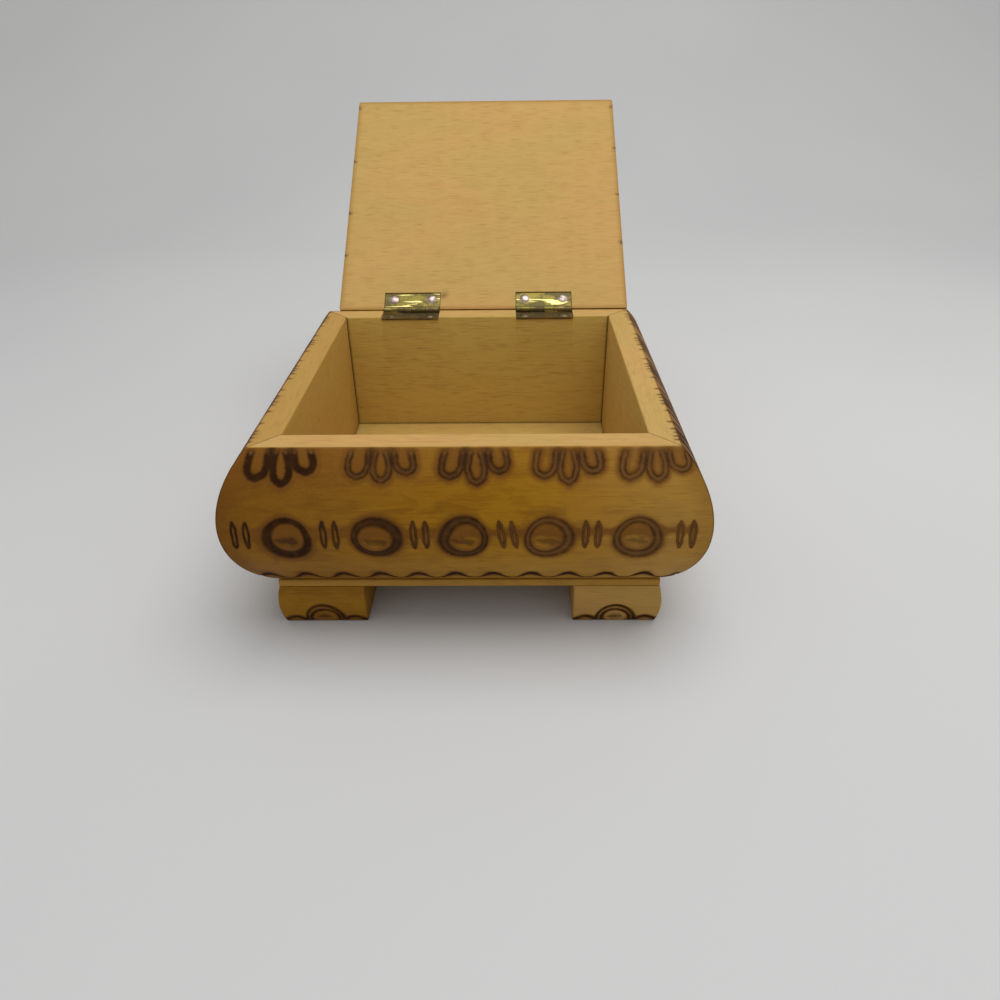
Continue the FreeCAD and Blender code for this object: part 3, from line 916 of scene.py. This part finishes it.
def makeBase():
    low, high = baseLow[:2], baseHigh[:2]
    counts = np.round((high - low)[::-1] / base["step"]).astype(int)
    soft = base["round"]
    rings = []

    def ring(inset, level):
        radius = max(soft - inset, base["leastRound"])
        rings.append(planRing(low + inset, high - inset, radius, level, counts, 5))

    ring(base["underRound"], baseLow[2])
    ring(0.0, baseLow[2] + base["underRound"])
    for turn in np.linspace(0, quarter, 5):
        ring(soft - soft * math.cos(turn), baseHigh[2] - soft + soft * math.sin(turn))
    edge = baseHigh[0] - innerX
    for shift in base["floorRows"]:
        ring(edge + shift, baseHigh[2])
    piece = loft("base_plate_wood", rings)
    spots = readSpots(piece)
    past = np.maximum(np.abs(spots[:, 0]) - innerX, np.abs(spots[:, 1]) - innerY)  # the inner faces
    floor = past < base["bareTo"]
    fields = {
        "grain": cutFrom(spots),
        "varnish": ramp(past, base["varnish"], base["bareTo"], base["varnishFrom"]),
        "inner": base["innerTone"] * floor,
        "mark": ramp(past, *base["seam"]) * floor,
    }
    dress(piece, "box", "base_plate", fields)


makeBase()
print("base made")


# Feet: blocks whose two outer faces swell, with half a ring and waves burnt along the bottom
foot = {
    "swell": 0.7,
    "tuck": 0.2,
    "cornerRound": 0.5,
    "soleEase": 0.25,
    "step": 0.27,
    "ringUp": 1.0,
    "ringRadii": (4.2, 3.1),
    "ringHalf": 0.32,
    "waveLow": 0.35,
    "waveHeight": 1.6,
    "waveFall": 0.3,  # share by which a wave is lower towards the foot's edge
    "waveHalf": 0.36,
    "heat": (0.86, 0.98),
    "smear": (-0.2, 1.7, 2.8),  # in the ring: across, up, width
    "smearHeat": 0.9,
    "skin": 0.35,  # depth to which burning soaks in
    "smearSkin": 0.2,
    "face": 0.05,  # depth that still counts as the outer face
    "varnish": {"front_right_foot": 0.36, "other": 1.0},  # less on the front right foot: painted light, paler where the light falls
    "varnishFrom": (0.05, 0.4),  # above the sole
    # browning, with painted shade on the front left foot
    "toastAndShade": {"front_left_foot": 0.4, "other": 0.1},
    "soleDarkening": (0.3, 2.5),  # darker just above the sole: share, width
    "grooveDepth": 0.12,
}


def footBow(share):
    # how far an outer face stands out past the base plate's edge, from sole (0) to plate (1)
    return 4 * foot["swell"] * share * (1 - share) - foot["tuck"] * (1 - share) * (1 - 2 * share)


def footLines(half):
    middle = dice.normal(0, 0.3)
    heat = dice.uniform(*foot["heat"])
    lines = [ringLine(middle, foot["ringUp"], radius, heat, foot["ringHalf"]) for radius in foot["ringRadii"]]
    share = np.linspace(0, 1, 14)
    along = foot["ringRadii"][0] + (half - foot["ringRadii"][0]) * share
    up = foot["waveLow"] + foot["waveHeight"] * np.sin(math.pi * share) * (1 - foot["waveFall"] * share)
    for side in (-1, 1):
        wave = np.stack((middle + side * along, up), 1)
        under = np.array(((wave[-1, 0], -half), (wave[0, 0], -half)))  # closed well below the sole
        lines.append(drawn(np.concatenate((wave, under)), foot["waveHalf"], heat))
    across, level, width = foot["smear"]
    return lines, [smear(middle + across, level, width, foot["smearHeat"] * heat)]


def makeFoot(name, sideX, sideY):
    node = name + "_foot"
    low, high = corners(node)
    height = high[2]
    side = np.array((sideX, sideY))
    outer = side * baseHigh[:2]
    span = min(high[:2] - low[:2]) - foot["swell"]
    count = round(span / foot["step"])
    levels = np.append(0.0, np.linspace(foot["soleEase"], height, round(height / foot["step"])))
    rings = []
    for level in levels:
        ease = max(foot["soleEase"] - level, 0)
        near = outer + side * (footBow(level / height) - ease)
        far = outer - side * (span - ease)
        ends = (np.minimum(near, far), np.maximum(near, far))
        rings.append(planRing(*ends, foot["cornerRound"], level, (count, count), 3))
    piece = loft(node + "_wood", rings)
    spots = readSpots(piece)
    bow = footBow(spots[:, 2] / height)
    reach = np.full(len(spots), farOff)
    heat = np.zeros(len(spots))
    mark = np.zeros(len(spots))
    # painted light: less varnish on the front right foot, so it shows paler
    varnish = ramp(spots[:, 2], chosen(foot["varnish"], node), *foot["varnishFrom"])
    for push in (0, 1):
        out = side[push] * (spots[:, push] - outer[push]) - bow
        across = spots[:, 1 - push] - outer[1 - push] + side[1 - push] * span / 2
        flat = np.stack((across, spots[:, 2]), 1)
        lines, smears = footLines(span / 2)
        faceReach, faceHeat = burnt(flat, lines)
        on = (out > -foot["skin"]) & (np.abs(faceReach) < np.abs(reach))
        reach = np.where(on, faceReach, reach)
        heat = np.where(on, faceHeat, heat)
        mark = np.maximum(mark, smudged(flat, smears) * (out > -foot["smearSkin"]))
        sink = grooveDepth(faceReach, faceHeat, foot["grooveDepth"]) * (out > -foot["face"])
        spots[:, push] -= side[push] * sink
    writeSpots(piece, spots)
    fields = {
        "grain": cutFrom(spots[:, [0, 2, 1]]),
        "varnish": varnish,
        "burn": reach,
        "burnHeat": heat,
        # the front left foot's larger share is painted shade
        "toastAndShade": edgeTone(spots[:, 2], *foot["soleDarkening"]) + chosen(foot["toastAndShade"], node),
        "mark": mark,
    }
    dress(piece, "box", node, fields)


for end, sideY in (("front", -1), ("rear", 1)):
    for name, sideX in (("left", -1), ("right", 1)):
        makeFoot(f"{end}_{name}", sideX, sideY)
print("feet made")


# Lid, drawn closed with the hinge axis as origin and then laid back
lid = {
    "depth": 83.1,
    "thickness": 6.0,
    "setback": 0.3,  # rear face, in front of the axis
    "gap": 0.1,  # underside, above the axis
    "round": 1.2,
    "corner": 0.8,
    "underRound": 0.1,
    "step": 0.42,
    "plainStep": 1.6,  # between points of the bare underside
    "plainInset": 40.0,  # of the innermost of them
    "border": 12.0,  # burnt band along the edges of the top
    "loopMargin": 11.0,  # from the last group of loops to the corner
    "grooveDepth": 0.13,
    "inset": 0.02,
    "nickPitch": 19.0,  # between burnt nicks on the side edges
    "nickEnds": (5.0, 8.0),  # clear of nicks at the front and at the rear
    "nickBand": (0.5, 1.6),  # above the underside: full up to the first, gone at the second
    "heat": (0.78, 1.0),
    "burnBand": (0.4, 0.3),  # burning starts below the round, and is full below the top
    "sideBand": (0.05, 0.5),  # varnish on the sides, above the underside
    "topBand": (0.6, 0.1),  # varnish on the top, below it
    "bleed": (0.35, -1.8, -0.3),  # varnish that ran under the edge: share, from, to
    "edgeToast": (0.35, 0.8),
    "face": 0.02,  # depth that still counts as the top
    "stain": ((0.7, 0.6), (1.3, 0.4)),  # ends, from the corner of a hinge leaf
    "stainHalf": 0.9,
    "stainHeat": 0.7,
}


def layBack(spots):
    turn = np.array(Matrix.Rotation(-laidBack, 3, "X"))
    return spots @ turn.T + (0, axisBack, axisLevel)


def lidLines(low, high):
    # groups of loops along each edge of the top, hung from the edge
    middle = (low + high) / 2
    half = (high - low) / 2
    reach = max(pattern["loopCentres"])
    lines = []
    for turn in range(4):
        across, depth = half if turn % 2 == 0 else half[::-1]
        spin = np.array(Matrix.Rotation(turn * quarter, 2))
        for centre in pattern["loopCentres"]:
            place = centre / reach * (across - lid["loopMargin"]) + dice.normal(0, pattern["stray"])
            for line in loopGroup(place, dice.uniform(*lid["heat"])):
                line["points"] = (line["points"] - (0, depth)) @ spin.T + middle
                lines.append(line)
    return lines


def lidMarks(low, high):
    # nicks where burnt lines run over the side edges, and a stain at a hinge leaf's corner
    lines = []
    frontGap, rearGap = lid["nickEnds"]
    for edge in (low[0], high[0]):
        for back in np.arange(low[1] + frontGap, high[1] - rearGap, lid["nickPitch"]):
            place = back + dice.normal(0, 2)
            ends = ((edge - 0.5, place), (edge + 0.5, place))
            lines.append(drawn(ends, dice.uniform(0.4, 0.7), 0.9, closed=False))
    corner = np.array((hingeSpan("left")[1], -leaf["reach"]))
    lines.append(drawn(corner + lid["stain"], lid["stainHalf"], lid["stainHeat"], closed=False))
    return lines


def makeLid():
    trim = lid["inset"]
    low = np.array((lidLow[0] + trim, -lid["setback"] - lid["depth"] + trim))
    high = np.array((lidHigh[0] - trim, -lid["setback"] - trim))
    bottom = lid["gap"] + trim
    top = lid["gap"] + lid["thickness"] - trim
    counts = np.round((high - low)[::-1] / lid["step"]).astype(int)
    soft, under = lid["round"], lid["underRound"]
    rings = []

    def ring(inset, level):
        radius = max(lid["corner"] - inset, 0.0)
        rings.append(planRing(low + inset, high - inset, radius, level, counts, 6))

    for inset in np.arange(lid["plainInset"], under, -lid["plainStep"]):
        ring(inset, bottom)
    for turn in np.linspace(0, quarter, 4):
        ring(under - under * math.sin(turn), bottom + under - under * math.cos(turn))
    for level in np.linspace(bottom + under, top - soft, 10)[1:-1]:
        ring(0.0, level)
    for turn in np.linspace(0, quarter, 6):
        ring(soft - soft * math.cos(turn), top - soft + soft * math.sin(turn))
    for inset in np.arange(soft + lid["step"], lid["border"], lid["step"]):
        ring(inset, top)
    piece = loft("lid_panel_wood", rings)
    front, over, ceiling = -leaf["reach"] - leaf["endGap"], leaf["overcut"], leaf["knuckle"]
    section = [(front, -over), (over, -over), (over, ceiling), (front, ceiling)]
    carve(piece, [prism(section, *hingeSpan(name)) for name in ("left", "right")])
    spots = readSpots(piece)
    reach, heat = burnt(spots[:, :2], lidLines(low, high))
    edge = np.minimum(spots[:, :2] - low, high - spots[:, :2]).min(1)
    above = spots[:, 2] - bottom
    below = top - spots[:, 2]
    burnFrom, burnFull = lid["burnBand"]
    upper = smooth(-below, -soft - burnFrom, -burnFull)
    nickFull, nickEnd = lid["nickBand"]
    nicks = smooth(-above, -nickEnd, -nickFull)
    sides = smooth(above, *lid["sideBand"]) * (edge < soft)
    topFrom, topFull = lid["topBand"]
    varnish = np.maximum(sides, smooth(-below, -topFrom, -topFull))
    spots[:, 2] -= grooveDepth(reach, heat, lid["grooveDepth"]) * (below < lid["face"])
    fields = {
        "grain": cutFrom(spots),
        "varnish": np.maximum(varnish, ramp(-edge, *lid["bleed"])),
        "burn": np.where(upper > 0, reach, farOff),
        "burnHeat": heat * upper,
        "toastAndShade": edgeTone(edge, *lid["edgeToast"]),
        "mark": smudged(spots[:, :2], lidMarks(low, high)) * nicks,
    }
    writeSpots(piece, layBack(spots))
    dress(piece, "lid", "lid_panel", fields)


makeLid()
print("lid made")


# Hinges keep their solids, with worn finishes
def finishHinges():
    for name, piece in frame["nodes"].items():
        if "hinge" not in name:
            continue
        onBox = "_box_" in name
        # leaves and nails on the box take the darker, browner finishes of painted shade
        nail, plate = (shadedBoxNail, shadedBoxBrass) if onBox else (dullNail, wornBrass)
        piece.data.materials.clear()
        piece.data.materials.append(nail if name.endswith("nails") else plate)


finishHinges()
print("hinges finished")


# Stage, in metres: a pale sweep, one large soft lamp above on the right, and an even sky
stage = {
    "paper": tint(217, 217, 216),
    "paperShade": tint(210, 210, 210),
    "paperRough": 0.6,
    "width": 4.0,
    "front": -1.2,
    "back": 0.3,
    "sweep": 0.4,
    "rise": 1.0,
    "soleGap": 0.00003,  # paper below the soles
    "sky": 0.48,
    "lampPower": 2.3,
    "lampSize": 0.6,
    "lampPlace": (0.11, 0.0, 0.6),
    "lampAim": (0.0, 0.0, 0.03),
}


def addStage():
    profile = [(stage["front"], 0.0), (stage["back"], 0.0)]
    for turn in np.linspace(0, quarter, 14)[1:]:
        bend = np.array((math.sin(turn), 1 - math.cos(turn))) * stage["sweep"]
        profile.append((stage["back"] + bend[0], bend[1]))
    profile.append((stage["back"] + stage["sweep"], stage["sweep"] + stage["rise"]))
    half = stage["width"] / 2
    verts = [(side, y, z - stage["soleGap"]) for y, z in profile for side in (-half, half)]
    faces = [(2 * row, 2 * row + 1, 2 * row + 3, 2 * row + 2) for row in range(len(profile) - 1)]
    mesh = bpy.data.meshes.new("paper")
    mesh.from_pydata(verts, [], faces)
    mesh.shade_smooth()
    paper = bpy.data.objects.new("paper", mesh)
    bpy.context.scene.collection.objects.link(paper)
    paint = Paint("palePaper")
    cloud = paint.noise(paint.place(), 3.0, 2.0)
    shade = paint.blend(paint.step(cloud, 0.3, 0.7), stage["paper"], stage["paperShade"])
    mesh.materials.append(paint.finish(Base_Color=shade, Roughness=stage["paperRough"]))


def addLight():
    world = bpy.data.worlds.new("sky")
    world.use_nodes = True
    sky = world.node_tree.nodes["Background"]
    sky.inputs["Color"].default_value = (1.0, 1.0, 1.0, 1.0)
    sky.inputs["Strength"].default_value = stage["sky"]
    bpy.context.scene.world = world
    data = bpy.data.lights.new("lamp", "AREA")
    data.energy = stage["lampPower"]
    data.shape = "DISK"
    data.size = stage["lampSize"]
    lamp = bpy.data.objects.new("lamp", data)
    lamp.location = stage["lampPlace"]
    lamp.rotation_euler = (Vector(stage["lampAim"]) - lamp.location).to_track_quat("-Z", "Y").to_euler()
    bpy.context.scene.collection.objects.link(lamp)


addStage()
addLight()
bpy.context.scene.view_settings.view_transform = "Standard"
print("stage and light set")
